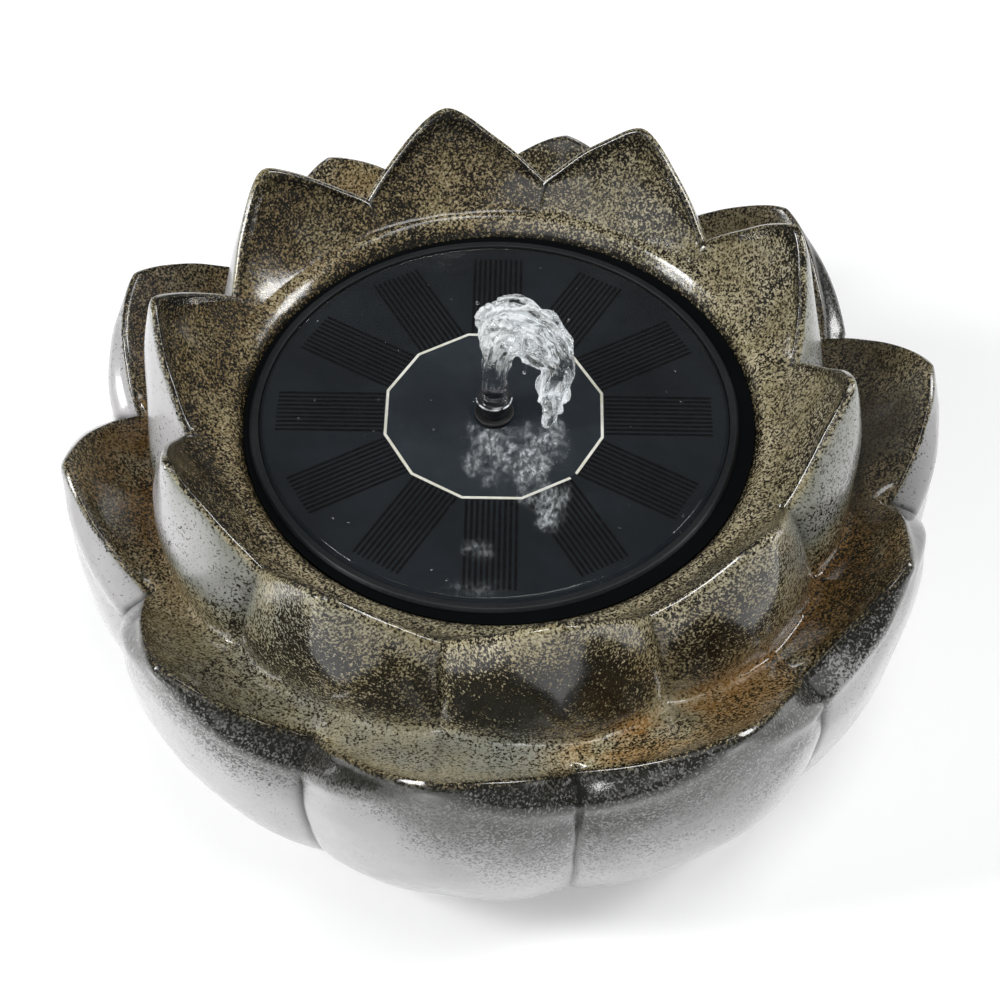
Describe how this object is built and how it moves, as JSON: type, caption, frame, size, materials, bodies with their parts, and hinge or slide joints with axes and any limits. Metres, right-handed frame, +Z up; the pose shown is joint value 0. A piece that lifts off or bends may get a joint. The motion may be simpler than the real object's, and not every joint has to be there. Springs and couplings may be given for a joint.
{
  "type": "solar fountain pump",
  "caption": "Glazed lotus bowl fountain: two rings of petals round a basin, with a round floating solar pump, jet nozzle, motor, impeller and strainer.",
  "frame": {"origin": "on the ground under the middle of the outer ring of petals", "axes": "+Z up; -Y is the front, towards the viewer of the picture; +X to its right"},
  "size_m": [0.289, 0.2905, 0.1453],
  "materials": {
    "stoneware_glaze": "speckled brown-beige gloss glaze, running out to pale grey low on the outside",
    "black_plastic": "satin black moulded plastic",
    "grey_foam": "closed-cell float foam",
    "black_rubber": "soft black rubber",
    "circuit_board": "dark blue solder mask",
    "solar_silicon": "near-black silicon with fine grid lines",
    "silver_ribbon": "tinned ribbon",
    "clear_laminate": "clear wet gloss",
    "sponge": "open-cell black filter sponge",
    "steel": "plain steel",
    "copper_wire": "enamelled copper winding",
    "epoxy": "black potting resin",
    "ferrite": "sintered ferrite",
    "white_ceramic": "ground alumina",
    "white_plastic": "plain moulded plastic",
    "red_lead": "insulated wire",
    "black_lead": "insulated wire"
  },
  "bodies": {
    "bowl": {"lotus_bowl": "stoneware_glaze"},
    "float": {"float_shell": "black_plastic", "panel_gasket": "black_rubber", "panel_board": "circuit_board", "solar_cell_01": "solar_silicon", "solar_cell_02": "solar_silicon", "solar_cell_03": "solar_silicon", "solar_cell_04": "solar_silicon", "solar_cell_05": "solar_silicon", "solar_cell_06": "solar_silicon", "solar_cell_07": "solar_silicon", "solar_cell_08": "solar_silicon", "solar_cell_09": "solar_silicon", "solar_cell_10": "solar_silicon", "solar_cell_11": "solar_silicon", "solar_cell_12": "solar_silicon", "bus_ribbon": "silver_ribbon", "clear_laminate": "clear_laminate", "foam_ring": "grey_foam", "nozzle_grommet": "black_rubber", "pump_housing": "black_plastic", "housing_screw_1": "steel", "housing_screw_2": "steel", "housing_screw_3": "steel", "housing_screw_4": "steel", "flange_gasket": "black_rubber", "stator_core": "steel", "stator_coil_1": "copper_wire", "stator_coil_2": "copper_wire", "driver_board": "circuit_board", "potting": "epoxy", "positive_lead": "red_lead", "negative_lead": "black_lead", "rotor_shaft": "white_ceramic", "upper_shaft_seat": "black_rubber", "lower_shaft_seat": "black_rubber", "impeller_cover": "black_plastic"},
    "nozzle": {"jet_nozzle": "black_plastic"},
    "rotor": {"rotor_magnet": "ferrite", "impeller": "white_plastic"},
    "strainer": {"strainer_cup": "black_plastic", "sponge_filter": "sponge"}
  },
  "joints": [
    {"name": "pump_lift", "type": "slide", "parent": "bowl", "child": "float", "axis": [0, 0, 1], "range_m": [0, 0.1]},
    {"name": "nozzle_pull", "type": "slide", "parent": "float", "child": "nozzle", "axis": [0, 0, 1], "range_m": [0, 0.02]},
    {"name": "rotor_spin", "type": "hinge", "parent": "float", "child": "rotor", "pos_m": [0.0083, 0, 0.074], "axis": [0, 0, 1], "continuous": true},
    {"name": "strainer_turn", "type": "hinge", "parent": "float", "child": "strainer", "pos_m": [-0.0042, 0, 0.074], "axis": [0, 0, 1], "range_deg": [0, 20]}
  ]
}
